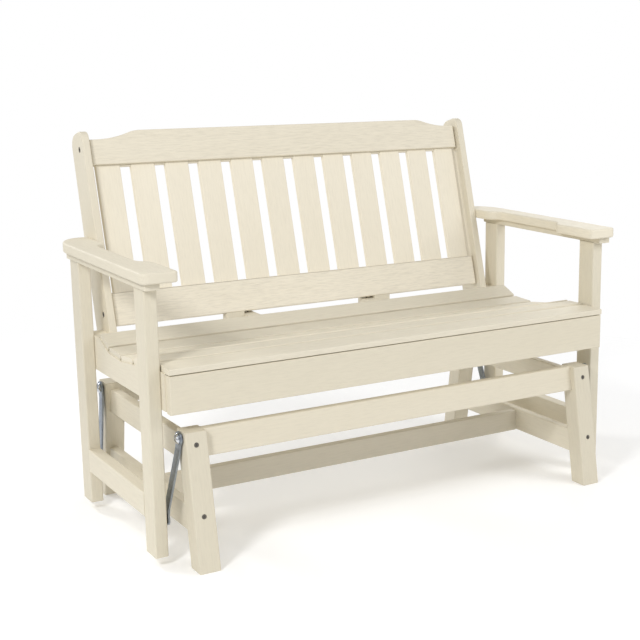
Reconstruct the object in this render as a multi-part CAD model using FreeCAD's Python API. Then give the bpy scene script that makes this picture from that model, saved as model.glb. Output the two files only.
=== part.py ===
import FreeCAD, Part
import math
import os

# Glider bench in plastic lumber: a seat with arms and a slatted back hangs on
# four steel links from a low splayed base, and glides front to back.
# Millimetres. +X to the right as seen from the front, +Y to the back, +Z up.
# The pieces are laid out from the front faces of the front seat posts (Y = 0)
# and moved at the end so that the origin is under the middle of the whole.

os.makedirs("parts", exist_ok=True)
V = FreeCAD.Vector

# ---------------------------------------------------------------- dimensions
# seat posts and lower side rails
POST_X0, POST_X1 = 610.0, 641.3      # inner and outer face of the seat posts
POST_DEEP = 59.2
FRONT_POST_Y = 0.0
REAR_POST_Y = 436.0
POST_Z0, POST_Z1 = 21.75, 636.0
SIDE_RAIL_Z0, SIDE_RAIL_Z1 = 103.0, 161.0
POST_ROUND = 4.0

# arms and the cleats under them
CLEAT_X0, CLEAT_X1 = 611.0, 646.0
CLEAT_Y0, CLEAT_Y1 = -22.0, 505.0
CLEAT_Z1 = 651.5
ARM_T = 25.0
ARM_X_OUT = 657.0
ARM_X_FRONT = 572.5
ARM_X_WAIST = 600.0
ARM_Y_FRONT, ARM_Y_REAR = -35.0, 567.0
ARM_R_FRONT = 18.0
ARM_REAR_A, ARM_REAR_B = 62.0, 95.0    # elliptical rear corner, across and along
ARM_ROUND = 4.5

# seat
SEAT_X = 607.0
SLAT_T = 14.0
SEAT_SLATS = [                        # top line of each slat: rear point, front point (Y, Z)
    ((396.0, 463.0), (343.5, 441.5)),
    ((337.5, 438.7), (264.0, 436.2)),
    ((257.8, 434.6), (183.5, 444.3)),
    ((177.0, 442.8), (100.0, 466.6)),
    ((93.6, 465.2), (38.0, 466.2)),
    ((31.8, 464.9), (-44.0, 464.0)),
]
SLAT_ROUND = 3.5
NOSE_ROUND = 3.0
APRON_X = 607.0
APRON_Y0, APRON_Y1 = -42.2, -20.0
APRON_Z0, APRON_Z1 = 360.1, 447.9
STRINGER_Z0 = 364.5
STRINGER_Y1 = 490.0
CENTRE_STRINGER_X = 183.0
CENTRE_STRINGER_T = 33.0
CENTRE_STRINGER_Z1 = 456.4            # its rear end, under the lower back rail
CENTRE_STEP_Y = 404.0
CENTRE_STRINGER_Y1 = 485.0
REST_T = 50.0                         # blocks beside the centre stringers, under the lower back rail
REST_Y0, REST_Y1, REST_Z0 = 449.5, 476.3, 395.0

# back, in its own leaning frame: (x, depth behind the rail faces, height up the back)
BACK_Y, BACK_Z = 492.73, 600.0
BACK_SLOPE = 0.28
BP_X0, BP_X1 = 552.3, 572.5           # back posts
BP_D0, BP_D1 = -19.0, 65.0            # front and rear edge at the top
BP_D2, BP_S2 = 79.5, -150.0           # the rear edge runs out to here, then back in to the foot
BP_S0, BP_S1 = -226.0, 350.5
BP_R_FRONT, BP_R_REAR = 23.0, 34.0
RAIL_D0, RAIL_T = -4.0, 27.0
RAIL_X = 547.6
CREST_S0, CREST_END_S, CREST_TOP_S = 264.1, 328.8, 349.3
OGEE_X0, OGEE_X1, OGEE_R = 414.0, 530.5, 90.0
LOWER_S0, LOWER_S1 = -142.5, -58.6
QUIRK_W, QUIRK_DEEP, QUIRK_DROP = 0.9, 3.0, 1.6   # fine groove along the lower rail, under its top edge
BACK_SLATS = 12
BACK_SLAT_W, BACK_SLAT_T = 64.0, 13.0
BACK_SLAT_FIRST, BACK_SLAT_PITCH = 46.5, 92.1
BACK_SLAT_D = 6.0                     # slat faces behind the rail faces
TENON = 20.0
CREST_LIP = 5.0

# base
LEG_X0, LEG_X1 = 523.0, 574.0
LEG_DEEP = 52.4
LEG_TOE_Y = -91.2
SPLAY = 0.173
LEG_Z1 = 313.6
BASE_MID_Y = 246.5
BASE_RAIL_X0, BASE_RAIL_X1 = 539.0, 562.0
UPPER_RAIL_Z0, UPPER_RAIL_Z1 = 233.5, 296.0
LOWER_RAIL_Z0, LOWER_RAIL_Z1 = 73.0, 134.0
CROSS_RAIL_Z0, CROSS_RAIL_Z1 = 251.0, 313.6
CROSS_RAIL_SETBACK, CROSS_RAIL_T = 17.0, 23.0
STRETCHER_Y0, STRETCHER_Y1 = 235.0, 258.0
STRETCHER_Z0, STRETCHER_Z1 = 71.0, 129.0
BOARD_ROUND = 3.0

# links and pivots
PIVOT_MID_Y = 247.6
UPPER_PIVOT_DY, UPPER_PIVOT_Z = 259.0, 297.0
LOWER_PIVOT_DY, LOWER_PIVOT_Z = 218.0, 100.0
LINK_W, LINK_T = 23.0, 4.5
LINK_UPPER_X, LINK_LOWER_X = 577.2, 597.4   # inner face of the bar at each end
EYE_UPPER_R, EYE_LOWER_R = 16.5, 14.5
PIN_R = 5.0
PIN_RUN = 0.10                        # radial running clearance
OPEN_RUN = 2.6                        # radial room in the rear lower eyes
SIDE_GAP = 0.3
HEAD_R, HEAD_H = 12.5, 8.0
LOW_HEAD_R, LOW_HEAD_H = 10.0, 3.2    # flatter heads on the lower pivot bolts

# screws
SCREW_HEAD_R, SCREW_HEAD_H, SCREW_R = 5.6, 3.0, 2.4
SCREW_DEEP = 0.8                      # head below the surface
SCREW_RUN = 0.1

# ---------------------------------------------------------------- helpers
parts = {}


def box(x0, x1, y0, y1, z0, z1):
    return Part.makeBox(x1 - x0, y1 - y0, z1 - z0, V(x0, y0, z0))


def prism_yz(pts, x0, x1):
    ring = [V(x0, y, z) for y, z in pts]
    return Part.Face(Part.makePolygon(ring + [ring[0]])).extrude(V(x1 - x0, 0, 0))


def soften(shape, r, pick=None):
    edges = [e for e in shape.Edges if pick is None or pick(e)]
    return shape.makeFillet(r, edges)


def one(shape):
    if shape.ShapeType == "Solid":
        return shape
    assert len(shape.Solids) == 1, len(shape.Solids)
    return shape.Solids[0]


def mirrored(shape):
    return shape.mirror(V(0, 0, 0), V(1, 0, 0))


def pair(name, shape):
    parts[name + "_right"] = shape
    parts[name + "_left"] = mirrored(shape)


def rod(p, d, r, length):
    return Part.makeCylinder(r, length, p, d)


THETA = math.atan(BACK_SLOPE)


def lean(shape):
    """Places a shape drawn as (x, depth, up the back) on the leaning back."""
    s = shape.copy()
    s.rotate(V(0, 0, 0), V(1, 0, 0), -math.degrees(THETA))
    s.translate(V(0, BACK_Y, BACK_Z))
    return s


def lean_point(x, d, s):
    c, n = math.cos(THETA), math.sin(THETA)
    return V(x, BACK_Y + d * c + s * n, BACK_Z - d * n + s * c)


def lean_dir(x, d, s):
    c, n = math.cos(THETA), math.sin(THETA)
    return V(x, d * c + s * n, -d * n + s * c)


# A screw with a flat round head and a square socket. p is on the surface and
# d points into the wood. room() is the space that it is driven into.
def screw(p, d, length, head_r=SCREW_HEAD_R):
    d = V(d).normalize()
    top = p + d * SCREW_DEEP
    s = rod(top, d, head_r, SCREW_HEAD_H)
    s = soften(s, 0.6, lambda e: (e.BoundBox.Center - top).Length < 0.05)
    s = s.fuse(rod(top + d * (SCREW_HEAD_H - 0.5), d, SCREW_R, length - SCREW_HEAD_H))
    side = V(0, 0, 1) if abs(d.z) < 0.7 else V(0, 1, 0)
    u = d.cross(side).normalize()
    w = d.cross(u).normalize()
    a = 1.9
    ring = [top + u * a + w * a, top - u * a + w * a, top - u * a - w * a, top + u * a - w * a]
    socket = Part.Face(Part.makePolygon(ring + [ring[0]])).extrude(d * 2.2)
    return one(s.cut(socket).removeSplitter())


def room(p, d, length, head_r=SCREW_HEAD_R):
    d = V(d).normalize()
    start = p - d * 2.0
    hole = rod(start, d, head_r + 0.4, 2.0 + SCREW_DEEP + SCREW_HEAD_H)
    return hole.fuse(rod(start, d, SCREW_R + SCREW_RUN, 2.0 + length + 0.5))


# ---------------------------------------------------------------- seat posts
def post(y0):
    s = box(POST_X0, POST_X1, y0, y0 + POST_DEEP, POST_Z0, POST_Z1)
    s = soften(s, POST_ROUND, lambda e: e.Length > 300)
    return soften(s, 1.2, lambda e: abs(e.BoundBox.ZMax - e.BoundBox.ZMin) < 0.01 and e.BoundBox.ZMax < POST_Z0 + 1)


front_post = post(FRONT_POST_Y)
rear_post = post(REAR_POST_Y)
side_rail = box(POST_X0, POST_X1, FRONT_POST_Y + POST_DEEP, REAR_POST_Y, SIDE_RAIL_Z0, SIDE_RAIL_Z1)
side_rail = soften(side_rail, BOARD_ROUND, lambda e: e.Length > 300)
pair("seat_lower_side_rail", side_rail)

# ---------------------------------------------------------------- arms
cleat = box(CLEAT_X0, CLEAT_X1, CLEAT_Y0, CLEAT_Y1, POST_Z1, CLEAT_Z1)
cleat = soften(cleat, 2.0, lambda e: e.Length < 20 or e.BoundBox.ZMax < POST_Z1 + 0.1)
pair("arm_cleat", cleat)


def arm_outline(z):
    def p(x, y):
        return V(x, y, z)

    def seg(a, b):
        return Part.LineSegment(a, b).toShape()

    def arc(a, m, b):
        return Part.Arc(a, m, b).toShape()

    k = 1.0 - math.sqrt(0.5)
    rf, ra, rb, ri, rc = ARM_R_FRONT, ARM_REAR_A, ARM_REAR_B, 9.0, 10.0
    xo, xf, yf, yr = ARM_X_OUT, ARM_X_FRONT, ARM_Y_FRONT, ARM_Y_REAR
    xr = BP_X1                                    # the arm meets the back post

    def bend(x0, y0, x1, y1):
        """Two tangent arcs that carry the edge sideways from one straight run to the next."""
        a, run = abs(x1 - x0), y1 - y0
        phi = 2 * math.atan(a / run)
        rad = run / (2 * math.sin(phi))
        sgn = 1.0 if x1 > x0 else -1.0
        xm, ym = (x0 + x1) / 2, (y0 + y1) / 2
        dx, dy = rad * (1 - math.cos(phi / 2)), rad * math.sin(phi / 2)
        return [arc(p(x0, y0), p(x0 + sgn * dx, y0 + dy), p(xm, ym)), arc(p(xm, ym), p(x1 - sgn * dx, y1 - dy), p(x1, y1))]

    xw = ARM_X_WAIST
    inner = bend(xf, 100.0, xw, 155.0) + [seg(p(xw, 155.0), p(xw, 394.0))] + bend(xw, 394.0, xr, 448.0)
    edges = [
        seg(p(xo - rf, yf), p(xf + ri, yf)),
        arc(p(xf + ri, yf), p(xf + ri * k, yf + ri * k), p(xf, yf + ri)),
        seg(p(xf, yf + ri), p(xf, 100.0)),
        *inner,
        seg(p(xr, 448.0), p(xr, yr - rc)),
        arc(p(xr, yr - rc), p(xr + rc * k, yr - rc * k), p(xr + rc, yr)),
        seg(p(xr + rc, yr), p(xo - ra, yr)),
        Part.ArcOfEllipse(Part.Ellipse(p(xo - ra, yr), p(xo, yr - rb), p(xo - ra, yr - rb)), 0.0, math.pi / 2).toShape(),
        seg(p(xo, yr - rb), p(xo, yf + rf)),
        arc(p(xo, yf + rf), p(xo - rf * k, yf + rf * k), p(xo - rf, yf)),
    ]
    return Part.Wire(edges)


arm = Part.Face(arm_outline(CLEAT_Z1)).extrude(V(0, 0, ARM_T))
arm = soften(arm, ARM_ROUND, lambda e: abs(e.BoundBox.ZMax - e.BoundBox.ZMin) < 0.01)
pair("arm", arm)

# ---------------------------------------------------------------- seat slats and frame
under = []
for i, ((ya, za), (yb, zb)) in enumerate(SEAT_SLATS):
    w = math.hypot(ya - yb, za - zb)
    a = math.atan2(za - zb, ya - yb)
    s = box(-SEAT_X, SEAT_X, 0, w, -SLAT_T, 0)
    if i == len(SEAT_SLATS) - 1:
        nose = [e for e in s.Edges if e.Length > 1000 and e.BoundBox.YMax < 0.01 and e.BoundBox.ZMin > -0.01]
        s = s.makeFillet(NOSE_ROUND, nose)
        s = soften(s, 2.0, lambda e: e.Length > 1000 and (e.BoundBox.YMin > w - 0.01 or e.BoundBox.ZMax < -SLAT_T + 0.01))
    else:
        s = soften(s, SLAT_ROUND, lambda e: e.Length > 1000)
    s.rotate(V(0, 0, 0), V(1, 0, 0), math.degrees(a))
    s.translate(V(0, yb, zb))
    parts["seat_slat_%d" % (i + 1)] = s
    ny, nz = -math.sin(a), math.cos(a)
    under += [(ya - SLAT_T * ny, za - SLAT_T * nz), (yb - SLAT_T * ny, zb - SLAT_T * nz)]


def stringer(x0, x1, rear):
    top = [q for q in under[:-1]]
    (ya, za), (yb, zb) = under[-2], under[-1]
    t = (APRON_Y1 - ya) / (yb - ya)
    front = (APRON_Y1, za + (zb - za) * t)
    ring = [(rear[0][0], STRINGER_Z0)] + rear + top + [front, (APRON_Y1, STRINGER_Z0)]
    return prism_yz(ring, x0, x1)


slat_foot = under[0][1]
end_stringer = stringer(BP_X1, POST_X0, [(STRINGER_Y1, slat_foot)])
centre_stringer = stringer(
    CENTRE_STRINGER_X - CENTRE_STRINGER_T / 2,
    CENTRE_STRINGER_X + CENTRE_STRINGER_T / 2,
    [(CENTRE_STRINGER_Y1, CENTRE_STRINGER_Z1), (CENTRE_STEP_Y, CENTRE_STRINGER_Z1), (CENTRE_STEP_Y, slat_foot)],
)
pair("end_stringer", end_stringer)

apron = box(-APRON_X, APRON_X, APRON_Y0, APRON_Y1, APRON_Z0, APRON_Z1)
parts["seat_apron"] = soften(apron, 2.5, lambda e: e.BoundBox.YMax < APRON_Y0 + 0.01 or e.Length > 1000)

# ---------------------------------------------------------------- back
k = 1.0 - math.sqrt(0.5)


def lp(d, s):
    return V(BP_X0, d, s)


q, r = BP_R_REAR, BP_R_FRONT
edges = [
    Part.LineSegment(lp(BP_D0, BP_S0), lp(BP_D1, BP_S0)).toShape(),
    Part.LineSegment(lp(BP_D1, BP_S0), lp(BP_D2, BP_S2)).toShape(),
    Part.LineSegment(lp(BP_D2, BP_S2), lp(BP_D1, BP_S1 - q)).toShape(),
    Part.Arc(lp(BP_D1, BP_S1 - q), lp(BP_D1 - q * k, BP_S1 - q * k), lp(BP_D1 - q, BP_S1)).toShape(),
    Part.LineSegment(lp(BP_D1 - q, BP_S1), lp(BP_D0 + r, BP_S1)).toShape(),
    Part.Arc(lp(BP_D0 + r, BP_S1), lp(BP_D0 + r * k, BP_S1 - r * k), lp(BP_D0, BP_S1 - r)).toShape(),
    Part.LineSegment(lp(BP_D0, BP_S1 - r), lp(BP_D0, BP_S0)).toShape(),
]
back_post = Part.Face(Part.Wire(edges)).extrude(V(BP_X1 - BP_X0, 0, 0))
back_post = soften(back_post, 3.0, lambda e: e.BoundBox.XLength < 0.01 and e.BoundBox.ZMax > BP_S0 + 1)


def rail_solid(outline_edges, necks):
    s = Part.Face(Part.Wire(outline_edges)).extrude(V(0, RAIL_T, 0))
    s = soften(s, 2.5, lambda e: e.BoundBox.YLength < 0.01)
    for n in necks:
        s = s.fuse(n)
    return one(s.removeSplitter())


def necks(s0, s1):
    out = []
    for sx in (-1, 1):
        a, b = sorted((sx * (RAIL_X - 6.0), sx * BP_X0))
        out.append(box(a, b, RAIL_D0 + 7.0, RAIL_D0 + RAIL_T - 5.0, s0 + 7.0, s1 - 7.0))
    return out


def rp(x, s):
    return V(x, RAIL_D0, s)


# the ends of the crest rise to its middle in a long hollow arc and a short round one
rise, run = CREST_TOP_S - CREST_END_S, OGEE_X1 - OGEE_X0
phi = 2 * math.atan(rise / run)
r1 = run / math.sin(phi) - OGEE_R
xm, sm = OGEE_X1 - r1 * math.sin(phi), CREST_END_S + r1 * (1 - math.cos(phi))


def crest_arcs(sx):
    h = phi / 2
    hollow = (OGEE_X1 - r1 * math.sin(h), CREST_END_S + r1 * (1 - math.cos(h)))
    crown = (OGEE_X0 + OGEE_R * math.sin(h), CREST_TOP_S - OGEE_R * (1 - math.cos(h)))
    return [
        Part.LineSegment(rp(sx * RAIL_X, CREST_END_S), rp(sx * OGEE_X1, CREST_END_S)).toShape(),
        Part.Arc(rp(sx * OGEE_X1, CREST_END_S), rp(sx * hollow[0], hollow[1]), rp(sx * xm, sm)).toShape(),
        Part.Arc(rp(sx * xm, sm), rp(sx * crown[0], crown[1]), rp(sx * OGEE_X0, CREST_TOP_S)).toShape(),
    ]


crest = rail_solid(
    [Part.LineSegment(rp(-RAIL_X, CREST_S0), rp(RAIL_X, CREST_S0)).toShape(),
     Part.LineSegment(rp(RAIL_X, CREST_S0), rp(RAIL_X, CREST_END_S)).toShape()]
    + crest_arcs(1.0)
    + [Part.LineSegment(rp(OGEE_X0, CREST_TOP_S), rp(-OGEE_X0, CREST_TOP_S)).toShape()]
    + list(reversed(crest_arcs(-1.0)))
    + [Part.LineSegment(rp(-RAIL_X, CREST_END_S), rp(-RAIL_X, CREST_S0)).toShape()],
    necks(CREST_S0, CREST_END_S),
)
corners = [rp(-RAIL_X, LOWER_S0), rp(RAIL_X, LOWER_S0), rp(RAIL_X, LOWER_S1), rp(-RAIL_X, LOWER_S1)]
lower = rail_solid(
    [Part.LineSegment(corners[i], corners[(i + 1) % 4]).toShape() for i in range(4)],
    necks(LOWER_S0, LOWER_S1),
)

lower = lower.cut(box(-RAIL_X - 1, RAIL_X + 1, RAIL_D0 - 1, RAIL_D0 + QUIRK_DEEP, LOWER_S1 - QUIRK_DROP - QUIRK_W, LOWER_S1 - QUIRK_DROP))

slat_x = [BACK_SLAT_FIRST + BACK_SLAT_PITCH * i for i in range(BACK_SLATS // 2)]
slat_x = [-x for x in reversed(slat_x)] + slat_x
for i, x in enumerate(slat_x):
    w, t, d = BACK_SLAT_W / 2, BACK_SLAT_T, BACK_SLAT_D
    s = box(x - w, x + w, d, d + t, LOWER_S1 - TENON, CREST_S0 + TENON)
    s = soften(s, 2.5, lambda e: e.Length > 200)
    parts["back_slat_%02d" % (i + 1)] = lean(s)
    g = 0.25
    crest = crest.cut(box(x - w - g, x + w + g, d - g, d + t + g, CREST_S0 - 5, CREST_S0 + TENON))
    lower = lower.cut(box(x - w - g, x + w + g, d - g, d + t + g, LOWER_S1 - TENON, LOWER_S1 + 5))
# low fillets between the slats close the groove in the crest
for a, b in zip(slat_x, slat_x[1:]):
    w = BACK_SLAT_W / 2 + 0.3
    crest = crest.fuse(box(a + w, b - w, BACK_SLAT_D + 1.5, BACK_SLAT_D + BACK_SLAT_T - 1.5, CREST_S0 - CREST_LIP, CREST_S0 + 3.0))
crest = crest.removeSplitter()
crest, lower, back_post = lean(one(crest)), lean(one(lower)), lean(one(back_post))



def rail_foot(y):
    """Height of the lower rail's sloping underside."""
    p = lean_point(0.0, RAIL_D0, LOWER_S0)
    return p.z - BACK_SLOPE * (y - p.y) - 0.05


rest_x = CENTRE_STRINGER_X + CENTRE_STRINGER_T / 2
rest = prism_yz([(REST_Y0, REST_Z0), (REST_Y1, REST_Z0), (REST_Y1, rail_foot(REST_Y1)), (REST_Y0, rail_foot(REST_Y0))], rest_x, rest_x + REST_T)
rest = soften(rest, 2.0, lambda e: e.BoundBox.XMin > rest_x + REST_T - 0.01)

# ---------------------------------------------------------------- base
def leg_y(z):
    return LEG_TOE_Y + SPLAY * z


def flip_y(shape):
    return shape.mirror(V(0, BASE_MID_Y, 0), V(0, 1, 0))


front_leg = prism_yz([(leg_y(0), 0), (leg_y(0) + LEG_DEEP, 0), (leg_y(LEG_Z1) + LEG_DEEP, LEG_Z1), (leg_y(LEG_Z1), LEG_Z1)], LEG_X0, LEG_X1)
front_leg = soften(front_leg, 3.5, lambda e: e.Length > 200)
front_leg = soften(front_leg, 1.2, lambda e: e.BoundBox.ZMax < 0.01 or e.BoundBox.ZMin > LEG_Z1 - 0.01)


def base_side_rail(z0, z1):
    def y0(z):
        return leg_y(z) + LEG_DEEP

    def y1(z):
        return 2 * BASE_MID_Y - y0(z)

    s = prism_yz([(y0(z0), z0), (y1(z0), z0), (y1(z1), z1), (y0(z1), z1)], BASE_RAIL_X0, BASE_RAIL_X1)
    return soften(s, BOARD_ROUND, lambda e: e.Length > 300)


upper_rail = base_side_rail(UPPER_RAIL_Z0, UPPER_RAIL_Z1)
lower_rail = base_side_rail(LOWER_RAIL_Z0, LOWER_RAIL_Z1)


def cy(z, extra):
    return leg_y(z) + CROSS_RAIL_SETBACK + extra


front_rail = prism_yz(
    [
        (cy(CROSS_RAIL_Z0, 0), CROSS_RAIL_Z0),
        (cy(CROSS_RAIL_Z0, CROSS_RAIL_T), CROSS_RAIL_Z0),
        (cy(CROSS_RAIL_Z1, CROSS_RAIL_T), CROSS_RAIL_Z1),
        (cy(CROSS_RAIL_Z1, 0), CROSS_RAIL_Z1),
    ],
    -LEG_X0,
    LEG_X0,
)
front_rail = soften(front_rail, BOARD_ROUND, lambda e: e.Length > 900)
stretcher = box(-BASE_RAIL_X0, BASE_RAIL_X0, STRETCHER_Y0, STRETCHER_Y1, STRETCHER_Z0, STRETCHER_Z1)
stretcher = soften(stretcher, BOARD_ROUND, lambda e: e.Length > 900)

# ---------------------------------------------------------------- links and pivots
LEAN = math.atan2(UPPER_PIVOT_DY - LOWER_PIVOT_DY, UPPER_PIVOT_Z - LOWER_PIVOT_Z)
LINK_L = math.hypot(UPPER_PIVOT_DY - LOWER_PIVOT_DY, UPPER_PIVOT_Z - LOWER_PIVOT_Z)


def link(lower_hole):
    """A flat bar with an eye at each end, set outwards on its way down. Drawn hanging from the origin."""
    xu, xl, t, n = LINK_UPPER_X, LINK_LOWER_X, LINK_T, LINK_L
    top, bottom = EYE_UPPER_R + 5, -n - EYE_LOWER_R - 5
    z1, z2 = -26.0, -n + 30.0
    ring = [(xu, top), (xu, z1), (xl, z2), (xl, bottom), (xl + t, bottom), (xl + t, z2 + 1.0), (xu + t, z1 + 1.0), (xu + t, top)]
    pts = [V(x, -30, z) for x, z in ring]
    strip = Part.Face(Part.makePolygon(pts + [pts[0]])).extrude(V(0, 60, 0))
    strip = soften(strip, 6.0, lambda e: e.Length > 50 and e.BoundBox.XLength < 0.01 and e.BoundBox.ZLength < 0.01 and bottom + 1 < e.BoundBox.ZMin and e.BoundBox.ZMax < top - 1)
    x0, xt = xu - 5, xl + t + 5
    outline = box(x0, xt, -LINK_W / 2, LINK_W / 2, -n, 0)
    outline = outline.fuse(rod(V(x0, 0, 0), V(1, 0, 0), EYE_UPPER_R, xt - x0))
    outline = outline.fuse(rod(V(x0, 0, -n), V(1, 0, 0), EYE_LOWER_R, xt - x0))
    outline = one(outline.removeSplitter())
    necks = []
    for e in outline.Edges:
        b = e.BoundBox
        if abs(b.XLength - (xt - x0)) < 0.01 and b.YLength < 0.01 and b.ZLength < 0.01 and abs(abs(b.YMin) - LINK_W / 2) < 0.01:
            necks.append(e)
    outline = outline.makeFillet(10.0, necks)
    s = one(strip.common(outline))
    s = s.cut(rod(V(x0, 0, 0), V(1, 0, 0), PIN_R + PIN_RUN, xt - x0))
    s = s.cut(rod(V(x0, 0, -n), V(1, 0, 0), lower_hole, xt - x0))
    return one(s)


def hang(shape, front):
    s = shape.copy()
    sign = 1.0 if front else -1.0
    s.rotate(V(0, 0, 0), V(1, 0, 0), sign * math.degrees(LEAN))
    s.translate(V(0, PIVOT_MID_Y - sign * UPPER_PIVOT_DY, UPPER_PIVOT_Z))
    return s


pair("front_link", hang(link(PIN_R + PIN_RUN), True))
pair("rear_link", hang(link(PIN_R + OPEN_RUN), False))


def dome(p, d, r, h):
    """A round domed bolt head standing on a plane at p, with d out of the head."""
    big = (r * r + h * h) / (2 * h)
    ball = Part.makeSphere(big, p + d * (h - big))
    return one(ball.common(rod(p, d, r, h + 1)))


def bolt(p, d, grip, r, h):
    """A domed coach bolt: the head stands at p, and its shank runs against d for grip."""
    head = rod(p, d, r, 1.6).fuse(dome(p + d * 1.6, d, r, h - 1.6))
    shank = rod(p + d * 1.0, d * -1.0, PIN_R, grip + 1.0)
    return one(head.fuse(shank).removeSplitter())


upper_bolts, upper_washers, lower_bolts, lower_spacers = [], [], [], []
leg_rooms = {True: [], False: []}
post_rooms = {True: [], False: []}
XP = V(1, 0, 0)
for front in (True, False):
    sign = 1.0 if front else -1.0
    yu = PIVOT_MID_Y - sign * UPPER_PIVOT_DY
    yl = PIVOT_MID_Y - sign * LOWER_PIVOT_DY
    x_head = LINK_UPPER_X + LINK_T + SIDE_GAP
    upper_bolts.append(bolt(V(x_head, yu, UPPER_PIVOT_Z), XP, x_head - 530.0, HEAD_R, HEAD_H))
    w = rod(V(LEG_X1, yu, UPPER_PIVOT_Z), XP, 11.0, LINK_UPPER_X - SIDE_GAP - LEG_X1)
    upper_washers.append(w.cut(rod(V(LEG_X1 - 1, yu, UPPER_PIVOT_Z), XP, PIN_R + 0.1, 20)))
    leg_rooms[front].append(rod(V(529.5, yu, UPPER_PIVOT_Z), XP, PIN_R + 0.1, 80))
    x_head = LINK_LOWER_X - SIDE_GAP
    lower_bolts.append(bolt(V(x_head, yl, LOWER_PIVOT_Z), XP * -1.0, 634.0 - x_head, LOW_HEAD_R, LOW_HEAD_H))
    x_in = LINK_LOWER_X + LINK_T + SIDE_GAP
    w = rod(V(x_in, yl, LOWER_PIVOT_Z), XP, 11.0, POST_X0 - x_in)
    lower_spacers.append(w.cut(rod(V(x_in - 1, yl, LOWER_PIVOT_Z), XP, PIN_R + 0.1, 20)))
    post_rooms[front].append(rod(V(POST_X0 - 1, yl, LOWER_PIVOT_Z), XP, PIN_R + 0.1, 634.5 - POST_X0 + 1))


def both_sides(solids):
    return Part.makeCompound(list(solids) + [mirrored(s) for s in solids])


parts["upper_pivot_bolts"] = both_sides(upper_bolts)
parts["upper_pivot_washers"] = both_sides(upper_washers)
parts["lower_pivot_bolts"] = both_sides(lower_bolts)
parts["lower_pivot_spacers"] = both_sides(lower_spacers)

# ---------------------------------------------------------------- screws
# through the legs into the ends of the base side rails
base_screws, rail_rooms = [], []
nrm = math.hypot(1.0, SPLAY)
inward = V(0, 1.0 / nrm, -SPLAY / nrm)
screw_x = (BASE_RAIL_X0 + BASE_RAIL_X1) / 2
for z in (285.0, 126.0):
    p = V(screw_x, leg_y(z), z)
    base_screws.append(screw(p, inward, 78.0))
    q = room(p, inward, 78.0)
    leg_rooms[True].append(q)
    rail_rooms.append(q)
base_screws += [flip_y(s) for s in base_screws]
rail_rooms += [flip_y(q) for q in rail_rooms]
parts["base_screws"] = both_sides(base_screws)


def cut_all(shape, tools):
    for t in tools:
        shape = shape.cut(t)
    return one(shape)


rear_leg = cut_all(flip_y(front_leg), leg_rooms[False] + [flip_y(q) for q in leg_rooms[True][1:]])
front_leg = cut_all(front_leg, leg_rooms[True])
pair("front_leg", front_leg)
pair("rear_leg", rear_leg)
pair("base_upper_side_rail", cut_all(upper_rail, rail_rooms))
pair("base_lower_side_rail", cut_all(lower_rail, rail_rooms))
parts["base_front_rail"] = front_rail
parts["base_rear_rail"] = flip_y(front_rail)
parts["base_stretcher"] = stretcher

pair("front_post", cut_all(front_post, post_rooms[True]))
pair("rear_post", cut_all(rear_post, post_rooms[False]))

# through the back posts into the ends of the back rails, up through the centre
# stringers into the lower rail, and through the rest blocks into the stringers
back_screws, back_rooms = [], []
for s in (306.0, -109.5):
    p = lean_point(BP_X1, 9.0, s)
    back_screws.append(screw(p, V(-1, 0, 0), 62.0, 7.2))
    back_rooms.append(room(p, V(-1, 0, 0), 62.0, 7.2))
rest_p = V(CENTRE_STRINGER_X, 466.0, STRINGER_Z0)
back_screws.append(screw(rest_p, V(0, 0, 1), 112.0))
rest_room = room(rest_p, V(0, 0, 1), 112.0)
block_rooms = []
for z in (412.0, 438.0):
    p = V(rest_x + REST_T, 457.5, z)
    back_screws.append(screw(p, V(-1, 0, 0), 75.0))
    block_rooms.append(room(p, V(-1, 0, 0), 75.0))
parts["back_screws"] = both_sides(back_screws)
pair("back_post", cut_all(back_post, back_rooms))
both = [q for q in back_rooms] + [rest_room]
both += [mirrored(q) for q in both]
parts["crest_rail"] = cut_all(crest, both)
parts["lower_back_rail"] = cut_all(lower, both)
pair("back_rest_block", cut_all(rest, block_rooms))
pair("centre_stringer", cut_all(centre_stringer, [rest_room] + block_rooms))

# ---------------------------------------------------------------- placing and writing
y_lo = min(s.BoundBox.YMin for s in parts.values())
y_hi = max(s.optimalBoundingBox().YMax for s in parts.values())
y_mid = (y_lo + y_hi) / 2
total = 0.0
for name in sorted(parts):
    s = parts[name]
    s.translate(V(0, -y_mid, 0))
    assert s.isValid(), name
    assert all(x.Volume > 0 for x in s.Solids), name
    total += s.Volume
    s.exportStep("parts/%s.step" % name)
print("nodes", len(parts), "y_mid", round(y_mid, 3), "volume l", round(total / 1e6, 2))
print("z", round(min(s.optimalBoundingBox().ZMin for s in parts.values()), 3), round(max(s.optimalBoundingBox().ZMax for s in parts.values()), 3))
print("y", round(y_lo - y_mid, 3), round(y_hi - y_mid, 3))
print("upper pivots y", round(PIVOT_MID_Y - UPPER_PIVOT_DY - y_mid, 4), round(PIVOT_MID_Y + UPPER_PIVOT_DY - y_mid, 4))
print("lower pivots y", round(PIVOT_MID_Y - LOWER_PIVOT_DY - y_mid, 4), round(PIVOT_MID_Y + LOWER_PIVOT_DY - y_mid, 4))
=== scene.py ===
import math

import bpy
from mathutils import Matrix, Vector

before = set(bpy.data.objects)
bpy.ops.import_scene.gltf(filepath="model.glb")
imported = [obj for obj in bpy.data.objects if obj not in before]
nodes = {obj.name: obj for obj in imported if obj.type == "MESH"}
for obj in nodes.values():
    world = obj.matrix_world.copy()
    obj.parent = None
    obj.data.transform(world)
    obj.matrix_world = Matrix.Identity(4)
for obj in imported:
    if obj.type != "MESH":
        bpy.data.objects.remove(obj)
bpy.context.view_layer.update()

# ---------------------------------------------------------------- camera
PHOTO = 640.0
FOCAL_PX = 1284.8818
CENTRE_PX = (424.9934, 335.7341)

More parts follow.
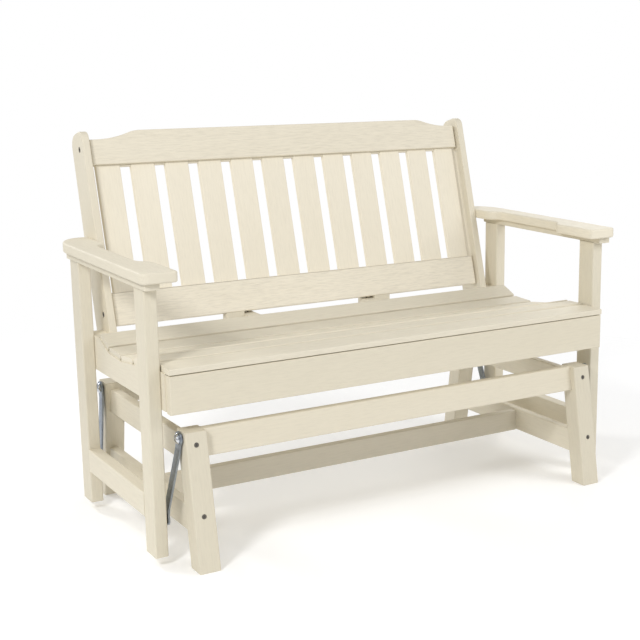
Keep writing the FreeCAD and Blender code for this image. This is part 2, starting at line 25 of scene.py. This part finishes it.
cam_data = bpy.data.cameras.new("camera")
cam = bpy.data.objects.new("camera", cam_data)
bpy.context.scene.collection.objects.link(cam)
cam_data.sensor_fit = "HORIZONTAL"
cam_data.sensor_width = 36.0
cam_data.lens = FOCAL_PX * 36.0 / PHOTO
cam_data.shift_x = -(CENTRE_PX[0] - PHOTO / 2) / PHOTO
cam_data.shift_y = (CENTRE_PX[1] - PHOTO / 2) / PHOTO
cam_data.clip_start = 0.05
cam_data.clip_end = 200.0
cam.location = (-1.600426, -2.873071, 1.143703)
cam.rotation_euler = (math.radians(90 - 12.67580), 0.0, math.radians(-32.85508))
bpy.context.scene.camera = cam

# ---------------------------------------------------------------- node helpers


class Tree:
    """A material's node tree, with short calls for the nodes used here."""

    def __init__(self, name):
        self.material = bpy.data.materials.new(name)
        self.material.use_nodes = True
        self.t = self.material.node_tree
        self.t.nodes.clear()
        self.out = self.t.nodes.new("ShaderNodeOutputMaterial")
        self.bsdf = self.t.nodes.new("ShaderNodeBsdfPrincipled")
        self.link(self.bsdf.outputs["BSDF"], self.out.inputs["Surface"])

    def link(self, a, b):
        self.t.links.new(a, b)

    def put(self, value, socket):
        if isinstance(value, bpy.types.NodeSocket):
            self.link(value, socket)
        else:
            socket.default_value = value

    def coords(self, kind):
        return self.t.nodes.new("ShaderNodeTexCoord").outputs[kind]

    def mapping(self, vector, turn=(0, 0, 0), shift=(0, 0, 0), scale=(1, 1, 1)):
        n = self.t.nodes.new("ShaderNodeMapping")
        self.link(vector, n.inputs["Vector"])
        n.inputs["Rotation"].default_value = turn
        n.inputs["Location"].default_value = shift
        n.inputs["Scale"].default_value = scale
        return n.outputs["Vector"]

    def noise(self, vector, scale=1.0, detail=2.0, rough=0.5, distort=0.0, out="Fac"):
        n = self.t.nodes.new("ShaderNodeTexNoise")
        n.noise_dimensions = "3D"
        self.link(vector, n.inputs["Vector"])
        n.inputs["Scale"].default_value = scale
        n.inputs["Detail"].default_value = detail
        n.inputs["Roughness"].default_value = rough
        n.inputs["Distortion"].default_value = distort
        return n.outputs[out]

    def rings(self, vector, pitch, distort=0.0, detail=2.0, detail_scale=1.0):
        """Rings about the X axis, one every pitch metres."""
        n = self.t.nodes.new("ShaderNodeTexWave")
        n.wave_type = "RINGS"
        n.rings_direction = "X"
        n.wave_profile = "SIN"
        self.link(vector, n.inputs["Vector"])
        n.inputs["Scale"].default_value = 2 * math.pi / (20 * pitch)
        n.inputs["Distortion"].default_value = distort
        n.inputs["Detail"].default_value = detail
        n.inputs["Detail Scale"].default_value = detail_scale
        return n.outputs["Fac"]

    def cells(self, vector, scale, out="Distance", feature="F1"):
        n = self.t.nodes.new("ShaderNodeTexVoronoi")
        n.feature = feature
        self.link(vector, n.inputs["Vector"])
        n.inputs["Scale"].default_value = scale
        return n.outputs[out]

    def math(self, op, a, b=None, c=None, clamp=False):
        n = self.t.nodes.new("ShaderNodeMath")
        n.operation = op
        n.use_clamp = clamp
        for k, v in enumerate((a, b, c)):
            if v is not None:
                self.put(v, n.inputs[k])
        return n.outputs["Value"]

    def vector(self, op, a, b=None, c=None):
        n = self.t.nodes.new("ShaderNodeVectorMath")
        n.operation = op
        for k, v in enumerate((a, b, c)):
            if v is not None:
                self.put(v, n.inputs[k])
        return n.outputs["Value" if op == "DOT_PRODUCT" else "Vector"]

    def span(self, value, a, b, c=0.0, d=1.0, smooth=True):
        """value from a..b taken to c..d, held at the ends."""
        n = self.t.nodes.new("ShaderNodeMapRange")
        n.interpolation_type = "SMOOTHSTEP" if smooth else "LINEAR"
        n.clamp = True
        self.link(value, n.inputs["Value"])
        for k, v in (("From Min", a), ("From Max", b), ("To Min", c), ("To Max", d)):
            n.inputs[k].default_value = v
        return n.outputs["Result"]

    def ramp(self, value, *stops):
        n = self.t.nodes.new("ShaderNodeValToRGB")
        self.link(value, n.inputs["Fac"])
        e = n.color_ramp.elements
        while len(e) < len(stops):
            e.new(0.5)
        for k, (at, colour) in enumerate(stops):
            e[k].position = at
            e[k].color = (*colour, 1.0)
        return n.outputs["Color"]

    def tint(self, kind, factor, a, b):
        n = self.t.nodes.new("ShaderNodeMix")
        n.data_type = "RGBA"
        n.blend_type = kind
        self.put(factor, n.inputs["Factor"])
        for v, s in ((a, n.inputs[6]), (b, n.inputs[7])):
            self.put(v if isinstance(v, bpy.types.NodeSocket) else (*v, 1.0), s)
        return n.outputs[2]

    def bump(self, height, distance, strength=1.0, normal=None):
        n = self.t.nodes.new("ShaderNodeBump")
        n.inputs["Strength"].default_value = strength
        n.inputs["Distance"].default_value = distance
        self.link(height, n.inputs["Height"])
        if normal is not None:
            self.link(normal, n.inputs["Normal"])
        return n.outputs["Normal"]


# ---------------------------------------------------------------- plastic lumber
IVORY = (0.740, 0.685, 0.556)
LEAN = math.atan(0.28)
SPLAY = math.atan(0.173)
ALONG_X = (0.0, 0.0, 0.0)
ALONG_Y = (0.0, 0.0, -math.pi / 2)
ALONG_Z = (0.0, math.pi / 2, 0.0)


def up_slope(angle):
    """Grain that runs up and, at this angle, towards the back."""
    return (angle, math.pi / 2, 0.0)


def shade_of(colour, k):
    return tuple(min(1.0, c * k) for c in colour)


def times(a, b):
    return tuple(x * y for x, y in zip(a, b))


def lumber(name, turn, seed, board_tone_and_painted_light, depth):
    """Moulded plastic lumber: ivory, with wood grain pressed into its faces along the board, and plain sawn ends.

    depth says how strongly the grain shows on this board."""
    s = Tree("lumber_" + name)
    at = s.coords("Object")
    shift = ((seed * 0.731) % 7.0, (seed * 0.417) % 3.0, (seed * 0.293) % 3.0)
    p = s.mapping(at, turn=turn, shift=shift)

    # the grain wanders a few millimetres from side to side along the board
    sway = s.noise(s.mapping(p, scale=(3.0, 9.0, 9.0)), detail=1.0, out="Color")
    sway = s.vector("MULTIPLY", s.vector("SUBTRACT", sway, (0.5, 0.5, 0.5)), (0.0, 0.016, 0.016))
    q = s.vector("ADD", p, sway)

    # growth rings cut at a shallow angle, which makes long arches
    tilt = (0.0, math.radians(2.2 + (seed * 0.37) % 1.6), math.radians(-1.6 + (seed * 0.53) % 3.0))
    back = s.mapping(at, turn=turn)
    pith = s.vector("ADD", s.mapping(back, turn=tilt, shift=(0.0, 0.03 + (seed * 0.019) % 0.05, 0.07 + (seed * 0.023) % 0.06)), sway)
    ring = s.rings(pith, 0.0085, distort=1.6, detail=2.0, detail_scale=3.0)
    ring = s.span(ring, 0.15, 0.95)

    fibre = s.noise(s.mapping(q, scale=(30.0, 300.0, 300.0)), detail=3.0, rough=0.6)
    fibre = s.span(fibre, 0.30, 0.72, smooth=False)
    pores = s.noise(s.mapping(q, scale=(30.0, 620.0, 620.0)), detail=1.0)
    pores = s.span(pores, 0.56, 0.70)

    # sawn ends carry no pressed grain, only fine saw marks
    probe = s.mapping(s.coords("Normal"), turn=turn)
    axis = s.math("ABSOLUTE", s.vector("DOT_PRODUCT", probe, (1.0, 0.0, 0.0)))
    end = s.span(axis, 0.80, 0.96)
    face = s.math("SUBTRACT", 1.0, end)
    saw = s.noise(s.mapping(p, turn=(0.6, 0.0, 0.0), scale=(300.0, 900.0, 90.0)), detail=2.0)

    relief = s.math("MULTIPLY_ADD", ring, 0.10, s.math("MULTIPLY", fibre, 0.90))
    relief = s.math("SUBTRACT", relief, s.math("MULTIPLY", pores, 0.45))
    height = s.math("ADD", s.math("MULTIPLY", relief, face), s.math("MULTIPLY", s.math("MULTIPLY", saw, end), 0.5))

    # the board's colour factor carries painted light and shade for this board, besides its small random tone
    base = times(IVORY, board_tone_and_painted_light)
    mottle = s.noise(s.mapping(p, scale=(4.0, 18.0, 18.0)), detail=2.0)
    tone = s.ramp(
        s.math("MULTIPLY_ADD", s.math("SUBTRACT", relief, 0.5), face, 0.5),
        (0.00, shade_of(base, 1.0 - 0.075 * depth)),
        (0.40, shade_of(base, 1.0 - 0.010 * depth)),
        (0.62, shade_of(base, 1.0 + 0.010 * depth)),
        (1.00, shade_of(base, 1.0 + 0.030 * depth)),
    )
    patch = s.ramp(mottle, (0.30, (0.985, 0.982, 0.976)), (0.70, (1.0, 1.0, 1.0)))
    s.link(s.tint("MULTIPLY", 1.0, tone, patch), s.bsdf.inputs["Base Color"])
    s.link(s.span(relief, 0.1, 0.9, 0.66, 0.54, smooth=False), s.bsdf.inputs["Roughness"])
    s.bsdf.inputs["IOR"].default_value = 1.48
    s.link(s.bump(height, 0.0004, 0.55 * depth), s.bsdf.inputs["Normal"])
    return s.material


# ---------------------------------------------------------------- metal and nylon


def zinc(name, turn, polish):
    """Zinc-plated steel, rolled along its length, with a faint spangle."""
    s = Tree("zinc_" + name)
    p = s.mapping(s.coords("Object"), turn=turn)
    streak = s.noise(s.mapping(p, scale=(25.0, 1500.0, 1500.0)), detail=2.0)
    spangle = s.cells(p, 320.0, out="Color")
    cloud = s.noise(p, scale=60.0, detail=3.0)
    grey = s.math("MULTIPLY_ADD", s.vector("DOT_PRODUCT", spangle, (0.33, 0.33, 0.33)), 0.35, s.math("MULTIPLY", cloud, 0.65))
    dark, light = ((0.52, 0.545, 0.58), (0.68, 0.70, 0.73)) if polish else ((0.26, 0.30, 0.36), (0.41, 0.455, 0.52))
    s.link(s.ramp(grey, (0.25, dark), (0.75, light)), s.bsdf.inputs["Base Color"])
    s.bsdf.inputs["Metallic"].default_value = 1.0
    lo, hi = (0.10, 0.20) if polish else (0.24, 0.40)
    s.link(s.span(streak, 0.3, 0.7, lo, hi, smooth=False), s.bsdf.inputs["Roughness"])
    s.link(s.bump(s.math("ADD", streak, s.math("MULTIPLY", cloud, 0.6)), 0.00012, 0.5), s.bsdf.inputs["Normal"])
    return s.material


def dark_screw(name):
    """Dark coated screw steel, rubbed a little on its high spots."""
    s = Tree("screw_" + name)
    p = s.coords("Object")
    rub = s.noise(p, scale=700.0, detail=3.0)
    s.link(s.ramp(rub, (0.35, (0.150, 0.140, 0.125)), (0.62, (0.230, 0.215, 0.190)), (0.80, (0.36, 0.34, 0.31))), s.bsdf.inputs["Base Color"])
    s.bsdf.inputs["Metallic"].default_value = 0.85
    s.link(s.span(rub, 0.3, 0.75, 0.55, 0.32, smooth=False), s.bsdf.inputs["Roughness"])
    s.link(s.bump(rub, 0.0001, 0.5), s.bsdf.inputs["Normal"])
    return s.material


def nylon(name):
    """Black moulded nylon with a fine matt texture."""
    s = Tree("nylon_" + name)
    grain = s.noise(s.coords("Object"), scale=1500.0, detail=2.0)
    s.link(s.ramp(grain, (0.3, (0.014, 0.014, 0.015)), (0.7, (0.030, 0.030, 0.032))), s.bsdf.inputs["Base Color"])
    s.link(s.span(grain, 0.3, 0.7, 0.62, 0.46, smooth=False), s.bsdf.inputs["Roughness"])
    s.link(s.bump(grain, 0.00008, 0.6), s.bsdf.inputs["Normal"])
    return s.material


# Per-board colour factors that paint light and shade: each board named here is made lighter or darker to match how
# light falls on it (the back, the right arm and the right rear post lighter; the rear seat slats, front legs, posts,
# apron and base rails darker).
PAINTED_LIGHT_PER_BOARD = (
    ("crest_rail", (1.045, 1.045, 1.055)),
    ("back_slat", (1.125, 1.13, 1.155)),
    ("lower_back_rail", (1.12, 1.125, 1.155)),
    ("seat_slat_1", (0.935, 0.935, 0.935)),
    ("seat_slat_2", (0.945, 0.945, 0.945)),
    ("seat_slat_3", (1.05, 1.05, 1.05)),
    ("seat_slat_4", (1.05, 1.05, 1.05)),
    ("seat_slat", (1.015, 1.015, 1.015)),
    ("front_leg", (0.91, 0.905, 0.89)),
    ("front_post", (0.965, 0.965, 0.955)),
    ("rear_post_left", (0.935, 0.935, 0.935)),
    ("rear_post_right", (1.04, 1.04, 1.045)),
    ("base_rear_rail", (0.92, 0.92, 0.925)),
    ("base_stretcher", (0.93, 0.93, 0.94)),
    ("base_front_rail", (0.985, 0.98, 0.975)),
    ("seat_apron", (0.965, 0.96, 0.945)),
    ("arm_right", (1.11, 1.11, 1.115)),
    ("arm", (1.0, 1.0, 1.0)),
)
GRAIN_DEPTHS = (("crest_rail", 1.1), ("lower_back_rail", 1.3), ("seat_slat", 0.75), ("arm", 0.7))


def tone_and_painted_light_for(n, seed):
    """Boards differ a little at random, as boards from different batches do; the per-board factors listed above add
    painted light and shade on top.
    """
    k = 1.0 + 0.006 * math.sin(seed * 2.4)
    for start, v in PAINTED_LIGHT_PER_BOARD:
        if n.startswith(start):
            return times(v, (k, k, k))
    return (k, k, k)


def depth_for(n):
    for start, v in GRAIN_DEPTHS:
        if n.startswith(start):
            return v
    return 0.5


def grain_of(n):
    if n.startswith(("back_slat", "back_post")):
        return up_slope(LEAN)
    if n.startswith("front_leg"):
        return up_slope(SPLAY)
    if n.startswith("rear_leg"):
        return up_slope(-SPLAY)
    if "_post_" in n or n.startswith("back_rest_block"):
        return ALONG_Z
    if n.startswith("arm") or "side_rail" in n or "stringer" in n:
        return ALONG_Y
    return ALONG_X


for k, n in enumerate(sorted(nodes)):
    o = nodes[n]
    if "_link_" in n:
        m = zinc(n, ALONG_Z, False)
    elif n.endswith("bolts"):
        m = zinc(n, ALONG_X, True)
    elif n.endswith("screws"):
        m = dark_screw(n)
    elif n.endswith(("washers", "spacers")):
        m = nylon(n)
    else:
        m = lumber(n, grain_of(n), k + 1, tone_and_painted_light_for(n, k + 1), depth_for(n))
    o.data.materials.clear()
    o.data.materials.append(m)

# ---------------------------------------------------------------- floor and light
FLOOR_R = 2.6
floor_mesh = bpy.data.meshes.new("floor")
ring_n = 96
floor_mesh.from_pydata(
    [(FLOOR_R * math.cos(2 * math.pi * i / ring_n), FLOOR_R * math.sin(2 * math.pi * i / ring_n), 0.0) for i in range(ring_n)],
    [],
    [tuple(range(ring_n))],
)
floor = bpy.data.objects.new("floor", floor_mesh)
bpy.context.scene.collection.objects.link(floor)
f = Tree("floor_white")
f.bsdf.inputs["Base Color"].default_value = (0.92, 0.92, 0.92, 1.0)
f.bsdf.inputs["Roughness"].default_value = 0.9
f.bsdf.inputs["Specular IOR Level"].default_value = 0.1
# the floor thins out towards its rim, so that it meets the backdrop without a line
away = f.t.nodes.new("ShaderNodeVectorMath")
away.operation = "LENGTH"
f.link(f.coords("Object"), away.inputs[0])
thin = f.span(away.outputs["Value"], 1.1, 2.45)
f.bsdf.inputs["Emission Color"].default_value = (1.0, 1.0, 1.0, 1.0)
f.bsdf.inputs["Emission Strength"].default_value = 0.14
clear = f.t.nodes.new("ShaderNodeBsdfTransparent")
both = f.t.nodes.new("ShaderNodeMixShader")
f.link(thin, both.inputs[0])
f.link(f.bsdf.outputs["BSDF"], both.inputs[1])
f.link(clear.outputs["BSDF"], both.inputs[2])
f.link(both.outputs["Shader"], f.out.inputs["Surface"])
floor_mesh.materials.append(f.material)

# a white backdrop, and a soft grey surround that lights the bench
world = bpy.data.worlds.new("studio")
bpy.context.scene.world = world
world.use_nodes = True
wt = world.node_tree
wt.nodes.clear()
surround = wt.nodes.new("ShaderNodeBackground")
surround.inputs["Color"].default_value = (1.0, 1.0, 1.0, 1.0)
surround.inputs["Strength"].default_value = 0.52
backdrop = wt.nodes.new("ShaderNodeBackground")
backdrop.inputs["Color"].default_value = (1.0, 1.0, 1.0, 1.0)
backdrop.inputs["Strength"].default_value = 1.0
which = wt.nodes.new("ShaderNodeMixShader")
wt.links.new(wt.nodes.new("ShaderNodeLightPath").outputs["Is Camera Ray"], which.inputs[0])
wt.links.new(surround.outputs["Background"], which.inputs[1])
wt.links.new(backdrop.outputs["Background"], which.inputs[2])
wt.links.new(which.outputs["Shader"], wt.nodes.new("ShaderNodeOutputWorld").inputs["Surface"])


def softbox(name, azimuth, height, size, power):
    """A square or oblong soft light, 3.4 m from the bench. Azimuth 0 is straight in front, and grows to the right."""
    a, e = math.radians(azimuth), math.radians(height)
    aim = Vector((0.0, 0.0, 0.45))
    at = aim + 3.4 * Vector((math.sin(a) * math.cos(e), -math.cos(a) * math.cos(e), math.sin(e)))
    d = bpy.data.lights.new(name, "AREA")
    d.shape = "RECTANGLE"
    d.size, d.size_y = size
    d.energy = power
    o = bpy.data.objects.new(name, d)
    bpy.context.scene.collection.objects.link(o)
    o.location = at
    o.rotation_euler = (aim - at).to_track_quat("-Z", "Y").to_euler()
    return o


softbox("key_left", -57.0, 31.0, (0.55, 0.55), 41.0)
softbox("key_right", 38.0, 30.0, (0.9, 0.9), 16.0)
softbox("high_right", 28.0, 40.0, (0.9, 0.9), 9.0)
softbox("low_right", 48.0, 20.0, (0.9, 0.9), 9.6)
softbox("back_left", -150.0, 28.0, (0.55, 0.55), 30.0)
softbox("low_left", -86.0, 8.0, (1.3, 0.7), 4.2)
softbox("back_right", 130.0, 20.0, (1.3, 1.3), 16.0)

bpy.context.scene.view_settings.view_transform = "Standard"
bpy.context.scene.view_settings.look = "None"
bpy.context.scene.view_settings.exposure = 0.0
bpy.context.scene.view_settings.gamma = 1.0
